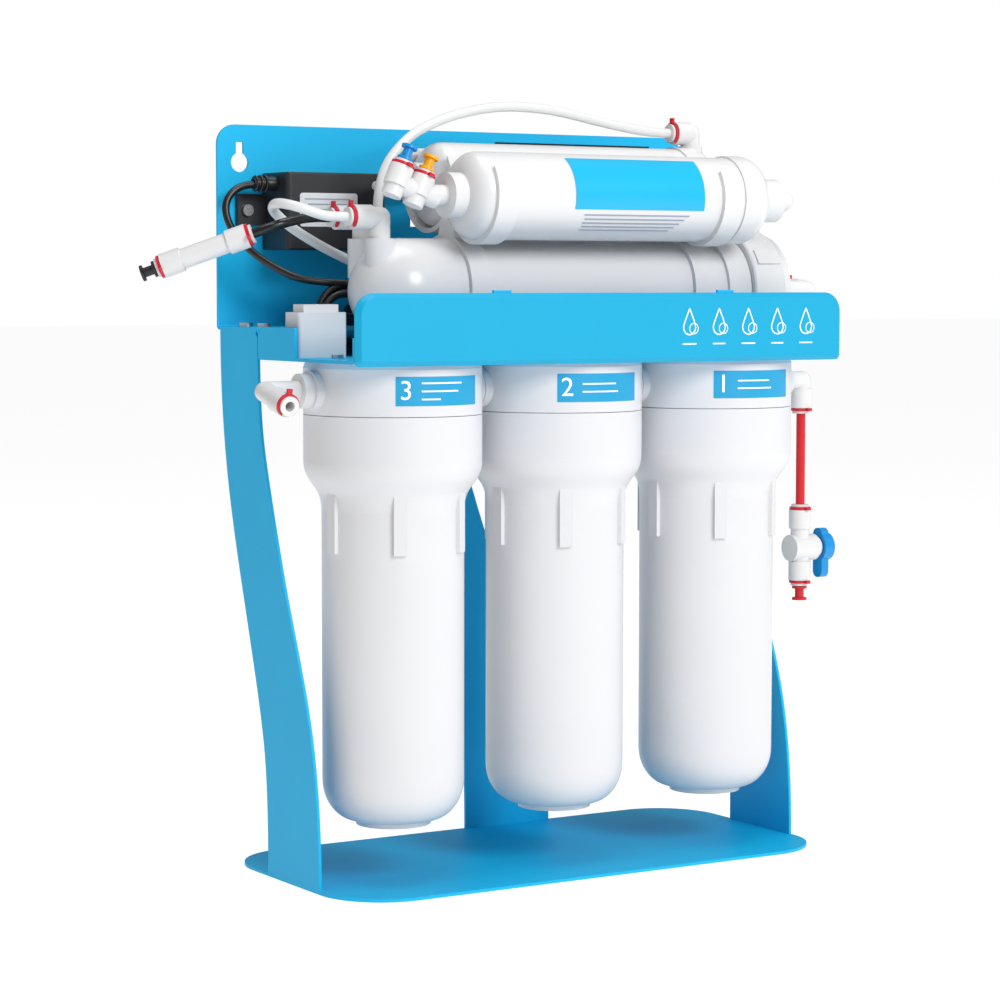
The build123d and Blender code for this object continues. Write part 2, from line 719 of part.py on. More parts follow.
with BuildPart() as membrane_elbow:
    elbow((cap_end + cap_elbow_reach, membrane_y, membrane_z), [(LEFT, cap_elbow_reach), (BACK, 10)])
    rod((cap_end, membrane_y, membrane_z), LEFT, stem_radius, stem_depth)
    mouth((feed_mouth, BACK))
save(membrane_elbow.part, "membrane_elbow")

with BuildPart() as carbon_inlet_elbow:
    elbow((carbon_joint + 8, rear_axis[0], arch_z), [(DOWN, arch_z - rear_axis[1] - carbon_boss), (LEFT, 6)])
    rod((carbon_joint + 8, rear_axis[0], rear_axis[1] + carbon_boss), DOWN, stem_radius, stem_depth)
    mouth((arch_mouth, LEFT))
save(carbon_inlet_elbow.part, "filter_elbows")

with BuildPart() as carbon_outlet_elbow:
    elbow((carbon_left - 9, *rear_axis), [(RIGHT, 9), (BACK, 8)])
    rod((carbon_left, *rear_axis), RIGHT, stem_radius, stem_depth)
    mouth((link_start, BACK))
save(carbon_outlet_elbow.part, "filter_elbows")

with BuildPart() as mineral_elbow:
    elbow((mineral_right + 9, *front_axis), [(LEFT, 9), (BACK, 8)])
    rod((mineral_right, *front_axis), LEFT, stem_radius, stem_depth)
    mouth((link_end, BACK))
save(mineral_elbow.part, "filter_elbows")

with BuildPart() as mineral_tee:
    elbow(tee_centre, [(RIGHT, mineral_left - tee_centre[0]), (tee_up, 22), (tee_down, 8)])
    rod((mineral_left, *front_axis), RIGHT, stem_radius, stem_depth)
    for point in tee_mouths:
        rod(point, opposite(plug_way), arm_radius, 20)
    mouth(*((point, plug_way) for point in tee_mouths))
save(mineral_tee.part, "mineral_tee")

with BuildPart() as union_fitting:
    rod(union_start, union_way, arm_radius, union_length)
    mouth((union_start, opposite(union_way)), (union_end, union_way))
save(union_fitting.part, "check_valve_union")

# every open end that takes a tube or a plug, with the side that its clip's tail points to
mouths = ((outlet_mouth, outlet_way, UP), (inlet_mouth, DOWN, FRONT), (product_mouth, LEFT, UP),
          (drain_mouth, LEFT, UP), (feed_mouth, BACK, UP), (arch_mouth, LEFT, UP), (link_start, BACK, UP),
          (link_end, BACK, UP), (tee_mouths[0], plug_way, FRONT), (tee_mouths[1], plug_way, FRONT),
          (union_start, opposite(union_way), FRONT), (union_end, union_way, FRONT),
          (valve_top_mouth, UP, FRONT), (valve_low_mouth, DOWN, FRONT), (shutoff_in, LEFT, UP),
          (shutoff_out, LEFT, UP), (shutoff_feed, RIGHT, UP), (pump_out, RIGHT, UP), (pump_in, RIGHT, UP))

with BuildPart() as collets:
    for point, way, tail in mouths:
        back = opposite(way)
        rod(along(point, back, collet_depth), way, collet_radius, collet_depth + clip_thick + 0.4)
        rod(along(point, way, clip_thick + 0.4), way, collet_flange, 1.6)
        rod(along(point, back, collet_depth), way, tube_radius, 2 * collet_depth, Mode.SUBTRACT)
save(collets.part, "collets")

with BuildPart() as locking_clips:
    for point, way, tail in mouths:
        side = Vector(*tail).cross(Vector(*way)).normalized()
        plane = Plane(along(point, way, 0.2), x_dir=side, z_dir=way)
        with BuildSketch(plane):
            Circle(clip_ring)
            Circle(collet_radius, mode=Mode.SUBTRACT)
            with Locations((0, clip_ring + 0.5)):
                Rectangle(3.4, 5)
            with Locations((0, -clip_ring)):
                Rectangle(2 * collet_radius - 2.5, clip_ring, mode=Mode.SUBTRACT)
        extrude(amount=clip_thick)
save(locking_clips.part, "locking_clips")

# ---------------------------------------------------------------- plugs

plugs = (("plug_blue", tee_mouths[0], plug_way), ("plug_yellow", tee_mouths[1], plug_way),
         ("plug_black", union_end, union_way), ("plug_red", valve_low_mouth, DOWN))
for name, point, way in plugs:
    back = opposite(way)
    with BuildPart() as plug:
        rod(along(point, back, plug_depth), way, tube_radius - plug_gap, plug_depth + plug_stand)
        for reach in (4.4, plug_stand - 1.6):
            rod(along(point, way, reach), way, plug_head, 1.6)
    save(plug.part, name)

# ---------------------------------------------------------------- feed valve

with BuildPart() as feed_valve:
    rod((feed_x, housing_y, valve_low_mouth[2]), UP, arm_radius, valve_top_mouth[2] - valve_low_mouth[2])
    rod((feed_x - valve_back, housing_y, valve_centre), RIGHT, valve_radius, valve_back + valve_front)
    rod((feed_x, housing_y, valve_centre), RIGHT, 7, valve_front + 3)
    mouth((valve_top_mouth, UP), (valve_low_mouth, DOWN))
    seat_radius = ball_radius + running_gap
    rod((feed_x - seat_radius, housing_y, valve_centre), RIGHT, seat_radius, 2 * seat_radius, Mode.SUBTRACT)
    rod((feed_x, housing_y, valve_centre), RIGHT, 3 + running_gap, 20, Mode.SUBTRACT)
save(feed_valve.part, "feed_valve_body")

with BuildPart() as valve_ball:
    with Locations((feed_x, housing_y, valve_centre)):
        Sphere(ball_radius)
    rod((feed_x, housing_y, valve_centre), RIGHT, 3, valve_front + 6)
    rod((feed_x, housing_y, valve_centre - 10), UP, tube_radius, 20, Mode.SUBTRACT)
save(valve_ball.part, "feed_valve_ball")

lever_x = feed_x + valve_front + 4
with BuildPart() as valve_lever:
    rod((lever_x, housing_y, valve_centre), RIGHT, lever_boss, lever_depth)
    slab((lever_x, housing_y - lever_width / 2, valve_centre - lever_reach),
         (lever_x + lever_depth - 2, housing_y + lever_width / 2, valve_centre + lever_rise))
    fillet(valve_lever.edges().filter_by(Axis.X).group_by(Axis.Z)[0], lever_width / 2 - 0.5)
    fillet(valve_lever.edges().filter_by(Axis.X).group_by(Axis.Z)[-1], lever_width / 2 - 0.5)
    rod((lever_x - 1, housing_y, valve_centre), RIGHT, 3, 3, Mode.SUBTRACT)
save(valve_lever.part, "feed_valve_lever")

# ---------------------------------------------------------------- shut-off valve on the ledge

with BuildPart() as shutoff_valve:
    rod((shutoff_x, shutoff_y, ledge_top), UP, 20.5, 18)
    shutoff_ends = ((shutoff_in, LEFT), (shutoff_out, LEFT), (shutoff_feed, RIGHT))
    for point, way in shutoff_ends:
        rod(point, opposite(way), arm_radius, shutoff_reach)
    mouth(*shutoff_ends)
save(shutoff_valve.part, "shutoff_valve")

with BuildPart() as shutoff_diaphragm:
    rod((shutoff_x, shutoff_y, ledge_top + 18), UP, 15, 2)
save(shutoff_diaphragm.part, "shutoff_diaphragm")

with BuildPart() as shutoff_cover:
    rod((shutoff_x, shutoff_y, ledge_top + 20), UP, 19, 8)
    top = shutoff_cover.edges().filter_by(GeomType.CIRCLE).group_by(Axis.Z)[-1]
    fillet(top, 2)
save(shutoff_cover.part, "shutoff_cover")

# ---------------------------------------------------------------- pressure switch on the tray

with BuildPart() as switch_base:
    slab((switch_left, switch_front, tray_top), (switch_left + switch_width, switch_front + switch_depth, switch_seam))
    fillet(switch_base.edges().filter_by(Axis.Z), 2.5)
save(switch_base.part, "switch_base")

with BuildPart() as switch_cover:
    slab((switch_left, switch_front, switch_seam),
         (switch_left + switch_width, switch_front + switch_depth, switch_top - 5))
    fillet(switch_cover.edges().filter_by(Axis.Z), 2.5)
    slab((switch_left + 5, switch_front + 3, switch_top - 5),
         (switch_left + switch_width - 5, switch_front + switch_depth - 3, switch_top))
save(switch_cover.part, "switch_cover")

# ---------------------------------------------------------------- power adapter

adapter_front = panel_face - adapter_depth
with BuildPart() as power_adapter:
    slab((adapter_left + adapter_ear, adapter_front, adapter_bottom), (adapter_right, panel_face, adapter_top))
    fillet(power_adapter.edges().filter_by(Axis.Z).group_by(Axis.Y)[0], 3)
    fillet(power_adapter.faces().sort_by(Axis.Y)[0].edges(), 1.2)
    slab((adapter_left - 6, panel_face - 4, adapter_bottom + 16), (adapter_left + adapter_ear, panel_face, adapter_top - 14))
    slab((adapter_right, panel_face - 4, adapter_bottom + 16), (adapter_right + adapter_ear, panel_face, adapter_top - 14))
    for x, z in adapter_screw_places:
        rod((x, panel_face, z), FRONT, screw_radius, 5, Mode.SUBTRACT)
    rod((adapter_left + adapter_ear, lead_y, lead_z), RIGHT, relief_radius - 1.5, 8, Mode.SUBTRACT)
    rod((adapter_right, lead_y, lead_z), LEFT, dc_radius, 8, Mode.SUBTRACT)
save(power_adapter.part, "power_adapter")

with BuildPart() as adapter_screws:
    for x, z in adapter_screw_places:
        rod((x, panel_back, z), FRONT, screw_radius, sheet + 4)
        rod((x, panel_face - 4, z), FRONT, 3.8, 2.6)
save(adapter_screws.part, "screws")

with BuildPart() as strain_relief:
    rod((adapter_left + adapter_ear + 8, lead_y, lead_z), LEFT, relief_radius - 1.5, 8)
    with Locations(Plane((adapter_left + adapter_ear, lead_y, lead_z), z_dir=LEFT)):
        Cone(relief_radius, lead_radius + 1.2, adapter_ear + 2, align=BASE)
    rod((adapter_left - 2, lead_y, lead_z), RIGHT, lead_radius, 30, Mode.SUBTRACT)
save(strain_relief.part, "strain_relief")

# ---------------------------------------------------------------- booster pump behind the panel

bracket_back = panel_back + sheet
pump_seat = bracket_back + grommet_height + saddle_floor
with BuildPart() as pump_bracket:
    slab((window_left - 14, panel_back, window_bottom - 8), (window_right + 14, bracket_back, window_top + 4))
    for x, z in bracket_screw_places:
        rod((x, panel_back, z), BACK, screw_radius, sheet, Mode.SUBTRACT)
    for x in saddle_places:
        rod((x, panel_back, pump_z), BACK, screw_radius, sheet, Mode.SUBTRACT)
save(pump_bracket.part, "pump_bracket")

with BuildPart() as bracket_screws:
    for x, z in bracket_screw_places:
        rod((x, panel_face, z), BACK, screw_radius, 2 * sheet + 1)
        rod((x, panel_face, z), FRONT, 3.6, 2.0)
        rod((x, bracket_back, z), BACK, 4.0, 2.6)
save(bracket_screws.part, "screws")

with BuildPart() as pump_grommets:
    for x in saddle_places:
        rod((x, bracket_back, pump_z), BACK, 7, grommet_height)
        rod((x, panel_back, pump_z), BACK, screw_radius, sheet + 1)
save(pump_grommets.part, "pump_grommets")

with BuildPart() as pump_saddle:
    slab((saddle_places[0] - 9, bracket_back + grommet_height, pump_z - 22),
         (saddle_places[1] + 9, pump_y, pump_z + 22))
    rod((0, pump_y, pump_z), RIGHT, motor_radius, 200, Mode.SUBTRACT)
save(pump_saddle.part, "pump_saddle")

with BuildPart() as motor_case:
    rod((motor_left, pump_y, pump_z), RIGHT, motor_radius, motor_right - motor_left)
    rod((motor_left + motor_wall, pump_y, pump_z), RIGHT, motor_radius - motor_wall,
        motor_right - motor_left - motor_wall, Mode.SUBTRACT)
    rod((motor_left + motor_wall, pump_y, pump_z), RIGHT, bearing_radius + 2, 6)
    rod((motor_left + motor_wall, pump_y, pump_z), RIGHT, bearing_radius, 8, Mode.SUBTRACT)
    rod((motor_left - 1, pump_y, pump_z + 20), RIGHT, dc_radius, motor_wall + 2, Mode.SUBTRACT)
save(motor_case.part, "motor_case")

with BuildPart() as motor_magnets:
    for side in (-1, 1):
        slab((motor_left + 16, pump_y + side * (rotor_radius + 1) - (6 if side < 0 else 0), pump_z - 16),
             (motor_right - 14, pump_y + side * (rotor_radius + 1) + (6 if side > 0 else 0), pump_z + 16))
    rod((motor_left, pump_y, pump_z), RIGHT, motor_radius - motor_wall, 200, Mode.INTERSECT)
save(motor_magnets.part, "motor_magnets")

with BuildPart() as motor_bearings:
    for x in (motor_left + motor_wall, motor_right + 2):
        rod((x, pump_y, pump_z), RIGHT, bearing_radius, 6)
        rod((x, pump_y, pump_z), RIGHT, shaft_radius + bearing_gap, 6, Mode.SUBTRACT)
save(motor_bearings.part, "motor_bearings")

with BuildPart() as motor_rotor:
    rod((motor_left + motor_wall + 0.5, pump_y, pump_z), RIGHT, shaft_radius, motor_right - motor_left + 22)
    rod((motor_left + 18, pump_y, pump_z), RIGHT, rotor_radius, motor_right - motor_left - 36)
    rod((motor_right + 14, pump_y + 1.5, pump_z), RIGHT, 12, 8)
save(motor_rotor.part, "motor_rotor")

with BuildPart() as pump_head:
    rod((motor_right, pump_y, pump_z), RIGHT, pump_head_radius, pump_head_right - motor_right)
    fillet(pump_head.edges().filter_by(GeomType.CIRCLE).group_by(Axis.X)[-1], 5)
    rod((motor_right, pump_y, pump_z), RIGHT, bearing_radius, 8, Mode.SUBTRACT)
    rod((motor_right + 8, pump_y, pump_z), RIGHT, 26, 24, Mode.SUBTRACT)
    rod((motor_right - 1, pump_y, pump_z), RIGHT, shaft_radius + 1, 12, Mode.SUBTRACT)
    for point in (pump_out, pump_in):
        rod(point, LEFT, arm_radius, point[0] - pump_head_right)
    mouth((pump_out, RIGHT), (pump_in, RIGHT))
save(pump_head.part, "pump_head")

with BuildPart() as pump_diaphragm:
    rod((motor_right + 29, pump_y, pump_z), RIGHT, 25.9, 2.9)
save(pump_diaphragm.part, "pump_diaphragm")

# ---------------------------------------------------------------- tubes and leads


def pipe(points, radius, name, bore=0.0):
    """Sweep a round tube along straight runs joined by arcs as large as the runs allow."""
    spots = [Vector(*point) for point in points]
    radii = []
    for before, here, after in zip(spots, spots[1:], spots[2:]):
        turn = radians((here - before).get_angle(after - here))
        radii.append(0.45 * min((here - before).length, (after - here).length) / tan(turn / 2))
    print(name, "smallest bend", round(min(radii), 1))
    with BuildLine(mode=Mode.PRIVATE) as path:
        FilletPolyline(*spots, radius=radii)
    with BuildSketch(Plane(spots[0], z_dir=spots[1] - spots[0]), mode=Mode.PRIVATE) as ring:
        Circle(radius)
        if bore:
            Circle(bore, mode=Mode.SUBTRACT)
    result = sweep(ring.sketch, path=path.wires()[0], transition=Transition.ROUND, mode=Mode.PRIVATE)
    section = 3.14159 * (radius ** 2 - bore ** 2)
    print(name, "length", round(path.wires()[0].length), "volume share",
          round(result.volume / (section * path.wires()[0].length), 4))
    save(result.solid(), name)


inside = tube_depth - 1.0
lead_out = 20.0              # straight stretch outside each fitting


def ends(point, way):
    """The two points that hold a tube straight in a fitting: inside it and just outside."""
    return along(point, opposite(way), inside), along(point, way, lead_out)


start, out = ends(product_mouth, LEFT)
stop, near = ends(shutoff_in, LEFT)
pipe([start, out, (-184, -17, 431), (-192, -2, 434), (-187, 14, 430), (-168, 25, 419), (-142, 32, 407),
      (-112, 40, 396), (-76, 47, 386), (-42, 52, 375), near, stop], tube_radius, "tubes_white")
start, out = ends(drain_mouth, LEFT)
stop, near = ends(union_start, opposite(union_way))
pipe([start, out, near, stop], tube_radius, "tube_drain")
start, out = ends(arch_mouth, LEFT)
stop, near = ends(shutoff_out, LEFT)
pipe([start, out, (62, 8, 491), (20, 8, 499), (-22, 8, 500), (-60, 8, 492), (-89, 8, 479), (-107, 8, 460),
      (-112, 10, 438), (-104, 22, 418), (-86, 38, 403), (-62, 55, 392), (-34, 68, 377), near, stop],
     tube_radius, "tubes_white")
start, out = ends(link_start, BACK)
stop, near = ends(link_end, BACK)
pipe([start, (link_start[0], 44, rear_axis[1]), (-76, 48, rear_axis[1] - 1), (-44, 45, rear_axis[1] - 2),
      (0, 46, rear_axis[1]), (50, 44, rear_axis[1] - 2), (100, 45, rear_axis[1]), (140, 44, rear_axis[1] - 2),
      (162, 34, front_axis[1] + 1), (171, 14, front_axis[1] - 0.5), near, stop], tube_radius, "tubes_white")
start, out = ends(feed_mouth, BACK)
stop, near = ends(pump_out, RIGHT)
pipe([start, out, (feed_mouth[0] + 1, 54, 380), (feed_mouth[0], 86, 387), (feed_mouth[0] - 3, 114, 399),
      (feed_mouth[0] - 11, 134, 412), near, stop], tube_radius, "tubes_white")
start, out = ends(shutoff_feed, RIGHT)
stop, near = ends(pump_in, RIGHT)
pipe([start, out, (103, 78, feed_hole_z - 1), (104, 100, feed_hole_z + 0.6), (112, 119, 372), (136, 142, 374),
      (166, 160, 381), (190, 166, 399), (203, 160, 425), (205, 149, 447), near, stop], tube_radius, "tubes_white")

with BuildPart() as tube_feed:
    rod((feed_x, housing_y, valve_top_mouth[2] - inside), UP, tube_radius,
        inlet_mouth[2] - valve_top_mouth[2] + 2 * inside)
save(tube_feed.part, "tube_feed")

pipe([(adapter_right - 8, lead_y, lead_z), (-64, lead_y, lead_z), (-49, 77, 446.5), (-38, 86, 443),
      (cable_slot_x, 100, 440), (-30, 115, 441), (-18, 129, 450), (4, pump_y, pump_z + 20),
      (motor_left + motor_wall, pump_y, pump_z + 20)], dc_radius, "lead_dc")

lead_start = (adapter_left + adapter_ear, lead_y, lead_z)
hank_left = hank_x - hank_length / 2
lead_end = (hank_left + 11, hank_y, hank_z + hank_height / 2 - 4)
lead_points = [lead_start, (-168, 74, 448), (-182, 74, 445), (-191, 73, 434), (-189, 68, 418), (-178, 57, 402),
               (-163, 44, 390), (-151, 33, 384), lead_end]
pipe(lead_points, lead_radius, "mains_lead")
tail_points = [(hank_x + hank_length / 2 - 1, 28.4, 363), (-64, 28.6, 364), (-50, 32, 366), (-40, 43, 366),
               (-37, 56, 363), (-44, 66, plug_z + 0.5), (plug_right, 69, plug_z)]

with BuildPart() as lead_hank:
    with BuildSketch(Plane.XZ.offset(-hank_y - hank_thick / 2)):
        with Locations((hank_x, hank_z)):
            SlotOverall(hank_length, hank_height)
            SlotOverall(hank_length - 2 * hank_band, hank_height - 2 * hank_band, mode=Mode.SUBTRACT)
    extrude(amount=hank_thick)
save(lead_hank.part, "lead_hank")
pipe(tail_points, lead_radius, "mains_lead")

with BuildPart() as lead_tie:
    with BuildSketch(Plane.YZ.offset(hank_x - 3)):
        with Locations((hank_y, hank_z + hank_height / 2 - hank_band / 2)):
            Rectangle(hank_thick + 0.8, hank_band + 0.8)
            Rectangle(hank_thick, hank_band, mode=Mode.SUBTRACT)
    extrude(amount=6)
save(lead_tie.part, "lead_tie")

with BuildPart() as mains_plug:
    with BuildSketch(Plane.YZ.offset(plug_right)):
        with Locations((69, plug_z)):
            RectangleRounded(16, 11, 4)
    with BuildSketch(Plane.YZ.offset(plug_right - 35)):
        with Locations((69, plug_z)):
            RectangleRounded(34, 13.6, 5)
    loft()
    for side in (-1, 1):
        rod((plug_right - 35, 69 + side * 9.3, plug_z), LEFT, 2.0, 19)
save(mains_plug.part, "mains_plug")

for name, solids in nodes.items():
    node = solids[0] if len(solids) == 1 else Compound(solids)
    node.label = name
    export_step(node, f"parts/{name}.step")
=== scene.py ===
import json
import math

import bmesh
import bpy
from mathutils import Matrix, Vector


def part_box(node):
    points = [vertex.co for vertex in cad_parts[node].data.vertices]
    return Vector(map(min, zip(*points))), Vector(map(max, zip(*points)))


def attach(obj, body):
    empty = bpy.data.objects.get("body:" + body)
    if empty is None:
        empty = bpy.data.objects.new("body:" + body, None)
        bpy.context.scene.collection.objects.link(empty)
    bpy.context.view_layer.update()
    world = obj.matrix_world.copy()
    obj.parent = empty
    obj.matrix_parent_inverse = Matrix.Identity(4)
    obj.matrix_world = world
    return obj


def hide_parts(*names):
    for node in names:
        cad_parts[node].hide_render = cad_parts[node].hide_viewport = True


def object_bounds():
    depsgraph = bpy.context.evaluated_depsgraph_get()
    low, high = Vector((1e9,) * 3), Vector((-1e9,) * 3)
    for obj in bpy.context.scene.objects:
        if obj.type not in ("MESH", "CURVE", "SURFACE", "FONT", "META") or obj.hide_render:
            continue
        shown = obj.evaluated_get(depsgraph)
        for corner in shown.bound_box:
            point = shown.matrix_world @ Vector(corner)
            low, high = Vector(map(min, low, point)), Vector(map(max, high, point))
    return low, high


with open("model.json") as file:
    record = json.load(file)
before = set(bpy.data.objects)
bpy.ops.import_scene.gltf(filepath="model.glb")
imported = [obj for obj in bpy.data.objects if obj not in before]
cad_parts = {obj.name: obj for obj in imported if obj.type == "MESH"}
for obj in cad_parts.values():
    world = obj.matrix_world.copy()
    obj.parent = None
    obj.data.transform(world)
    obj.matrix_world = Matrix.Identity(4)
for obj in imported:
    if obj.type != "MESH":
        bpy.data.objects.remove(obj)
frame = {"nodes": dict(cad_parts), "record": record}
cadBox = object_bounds()
nodes = frame["nodes"]
mm = 0.001
print("frame loaded:", len(nodes), "pieces")

# corners and middle of a piece of the frame, which the added pieces sit on

def middle(node):
    low, high = (Vector(corner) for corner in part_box(node))
    return (low + high) / 2


def corners(node):
    low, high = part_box(node)
    return Vector(low), Vector(high)


# colours and finishes


def linear(hexCode):
    channels = [int(hexCode[i:i + 2], 16) / 255 for i in (1, 3, 5)]
    return [c / 12.92 if c <= 0.04045 else ((c + 0.055) / 1.055) ** 2.4 for c in channels] + [1.0]


def addNode(tree, kind, inputs=(), **settings):
    node = tree.nodes.new(kind)
    for name, value in settings.items():
        setattr(node, name, value)
    for name, value in dict(inputs).items():
        if isinstance(value, bpy.types.NodeSocket):
            tree.links.new(value, node.inputs[name])
        else:
            node.inputs[name].default_value = value
    return node


def makeFinish(name, colour, shade, roughness, grain, depth, spread=0.05, patch=45.0, **shader):
    # colour and shade are the two tones; grain, depth and patch are sizes in mm
    material = bpy.data.materials.new(name)
    material.use_nodes = True
    tree = material.node_tree
    principled = tree.nodes["Principled BSDF"]
    place = addNode(tree, "ShaderNodeTexCoord").outputs["Object"]
    fine = addNode(tree, "ShaderNodeTexNoise", {"Vector": place, "Scale": 1000 / grain, "Detail": 4.0})
    broad = addNode(tree, "ShaderNodeTexNoise", {"Vector": place, "Scale": 1000 / patch, "Detail": 2.0})
    tone = addNode(tree, "ShaderNodeMix", {"Factor": broad.outputs["Fac"]}, data_type="RGBA")
    tone.inputs[6].default_value = linear(colour)
    tone.inputs[7].default_value = linear(shade)
    gloss = addNode(tree, "ShaderNodeMapRange", {"Value": fine.outputs["Fac"], "To Min": roughness - spread,
                                                 "To Max": roughness + spread})
    bump = addNode(tree, "ShaderNodeBump", {"Height": fine.outputs["Fac"], "Strength": 0.6,
                                            "Distance": depth * mm})
    tree.links.new(tone.outputs[2], principled.inputs["Base Color"])
    tree.links.new(gloss.outputs["Result"], principled.inputs["Roughness"])
    tree.links.new(bump.outputs["Normal"], principled.inputs["Normal"])
    for socket, value in shader.items():
        principled.inputs[socket.replace("_", " ")].default_value = value
    return material


finishes = {
    # polyester powder coat on sheet: satin, with a faint orange peel about 2 mm across
    "powderCoat": makeFinish("powderCoat", "#04b6e9", "#03afe3", 0.5, 2.0, 0.006, Specular_IOR_Level=0.3),
    # gloss ABS cover: brighter cyan than the stand
    "coverAbs": makeFinish("coverAbs", "#04a3cd", "#039fc9", 0.45, 3.0, 0.004, Specular_IOR_Level=0.35),
    # moulded polypropylene: slightly waxy white, lets a little light in
    "moldedPp": makeFinish("moldedPp", "#dcdcde", "#d8d8db", 0.38, 2.0, 0.004, IOR=1.49),
    # gloss moulded polypropylene: sharper highlights along the membrane housing and the in-line filters
    "glossPp": makeFinish("glossPp", "#dfdfe0", "#dbdbdc", 0.25, 8.0, 0.002, IOR=1.49),
    # moulded acetal fittings: dense, smooth and white
    "acetal": makeFinish("acetal", "#dededd", "#dadadb", 0.30, 2.0, 0.004, IOR=1.48),
    # extruded polyethylene tube: smooth skin with one long soft highlight
    "tubeWhite": makeFinish("tubeWhite", "#dfe0df", "#dbdddc", 0.30, 3.0, 0.004, IOR=1.51),
    "tubeBlack": makeFinish("tubeBlack", "#08090b", "#0c0d10", 0.28, 3.0, 0.004, IOR=1.51),
    "tubeRed": makeFinish("tubeRed", "#d20a1e", "#c8071a", 0.30, 3.0, 0.004, IOR=1.51),
    # coloured moulded acetal of the clips and plugs: one strong tone with small highlights
    "clipRed": makeFinish("clipRed", "#d1142b", "#c51127", 0.34, 1.5, 0.004, IOR=1.48),
    "plugBlue": makeFinish("plugBlue", "#0d90d6", "#0a86cb", 0.30, 1.5, 0.004, IOR=1.48),
    "plugYellow": makeFinish("plugYellow", "#f8ae08", "#f0a405", 0.34, 1.5, 0.004, IOR=1.48),
    # textured black ABS of the adapter and the pump's bracket: charcoal with a broad dull sheen
    "blackAbs": makeFinish("blackAbs", "#1b1d22", "#16181c", 0.44, 1.2, 0.01, IOR=1.54),
    # extruded PVC cable sheath: near black, with a softer highlight than the tube's
    "sheathPvc": makeFinish("sheathPvc", "#0e0e10", "#141416", 0.36, 2.0, 0.005, IOR=1.53),
    # moulded nitrile rubber: dark and matt
    "nitrile": makeFinish("nitrile", "#1a1a1a", "#222222", 0.6, 0.8, 0.02, IOR=1.52),
    # bright zinc plate on steel: pale grey metal with slightly blurred reflections
    "zincPlate": makeFinish("zincPlate", "#c9cacc", "#b8babd", 0.28, 0.5, 0.006, Metallic=1.0),
    # melt-blown polypropylene fleece: off-white, matt and fibrous
    "filterFleece": makeFinish("filterFleece", "#f1efe8", "#e5e2d8", 0.85, 0.6, 0.12, IOR=1.45),
    # printed vinyl labels and their ink: flat colour with a satin skin
    "labelBlue": makeFinish("labelBlue", "#069ccc", "#0598c7", 0.5, 4.0, 0.002, IOR=1.5),
    "labelCyan": makeFinish("labelCyan", "#0cabd9", "#12b2de", 0.3, 4.0, 0.002, IOR=1.5),
    "labelGrey": makeFinish("labelGrey", "#dfe0e2", "#d6d8da", 0.4, 2.0, 0.004, IOR=1.5),
    "printWhite": makeFinish("printWhite", "#fafafa", "#f3f5f6", 0.4, 2.0, 0.002, IOR=1.5),
    "printGrey": makeFinish("printGrey", "#8f9bb0", "#98a3b6", 0.4, 2.0, 0.002, IOR=1.5),
}

slotFinish = {
    "stand_enamel": "powderCoat", "cover_enamel": "coverAbs", "housing_plastic": "moldedPp",
    "membrane_plastic": "glossPp", "fitting_plastic": "acetal", "tube_white": "tubeWhite",
    "tube_black": "tubeBlack", "tube_red": "tubeRed", "clip_red": "clipRed", "plug_blue": "plugBlue",
    "plug_yellow": "plugYellow", "black_plastic": "blackAbs", "lead_sheath": "sheathPvc", "rubber": "nitrile",
    "zinc_steel": "zincPlate", "cartridge_media": "filterFleece",
}
for part in frame["record"]["subparts"]:
    piece = nodes[part["node"]]
    piece.data.materials.clear()
    piece.data.materials.append(finishes[slotFinish[part["material_slot"]]])
print("finishes on the frame")

# making pieces


def finishPiece(name, mesh, finish, smooth=True):
    # every added piece is fixed to the unit's own body
    piece = bpy.data.objects.new(name, mesh)
    bpy.context.scene.collection.objects.link(piece)
    mesh.materials.append(finishes[finish])
    for face in mesh.polygons:
        face.use_smooth = smooth
    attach(piece, "unit")
    return piece


def fromBmesh(bm, name):
    bmesh.ops.recalc_face_normals(bm, faces=bm.faces)
    mesh = bpy.data.meshes.new(name)
    bm.to_mesh(mesh)
    bm.free()
    return mesh


def spunLabel(name, start, end, centre, axis, turn, steps, finish, thick=0.15):
    # an edge sweeps the label out round an axis, then it gets its thickness
    bm = bmesh.new()
    pieces = 12
    rail = [bm.verts.new(start.lerp(end, i / pieces)) for i in range(pieces + 1)]
    edges = [bm.edges.new(pair) for pair in zip(rail, rail[1:])]
    bmesh.ops.spin(bm, geom=rail + edges, cent=centre, axis=axis, dvec=(0, 0, 0), angle=turn, steps=steps,
                   use_merge=False, use_duplicate=False)
    bmesh.ops.recalc_face_normals(bm, faces=bm.faces)
    bm.faces.ensure_lookup_table()
    radial = bm.faces[0].calc_center_median() - Vector(centre)
    radial -= radial.project(Vector(axis))
    if bm.faces[0].normal.dot(radial) < 0:
        bmesh.ops.reverse_faces(bm, faces=bm.faces)
    bmesh.ops.solidify(bm, geom=bm.faces[:], thickness=-thick * mm)
    mesh = fromBmesh(bm, name)
    piece = finishPiece(name, mesh, finish)
    mesh.set_sharp_from_angle(angle=math.radians(35))
    return piece


def flatText(body, size, thick):
    curve = bpy.data.curves.new("figure", "FONT")
    curve.body = body
    curve.size = size * mm
    curve.extrude = thick * mm / 2
    curve.align_x = "CENTER"
    curve.align_y = "CENTER"
    holder = bpy.data.objects.new("figure", curve)
    bpy.context.scene.collection.objects.link(holder)
    bpy.context.view_layer.update()
    mesh = bpy.data.meshes.new_from_object(holder)
    bpy.data.objects.remove(holder)
    return mesh


# numbered stickers on the filter heads

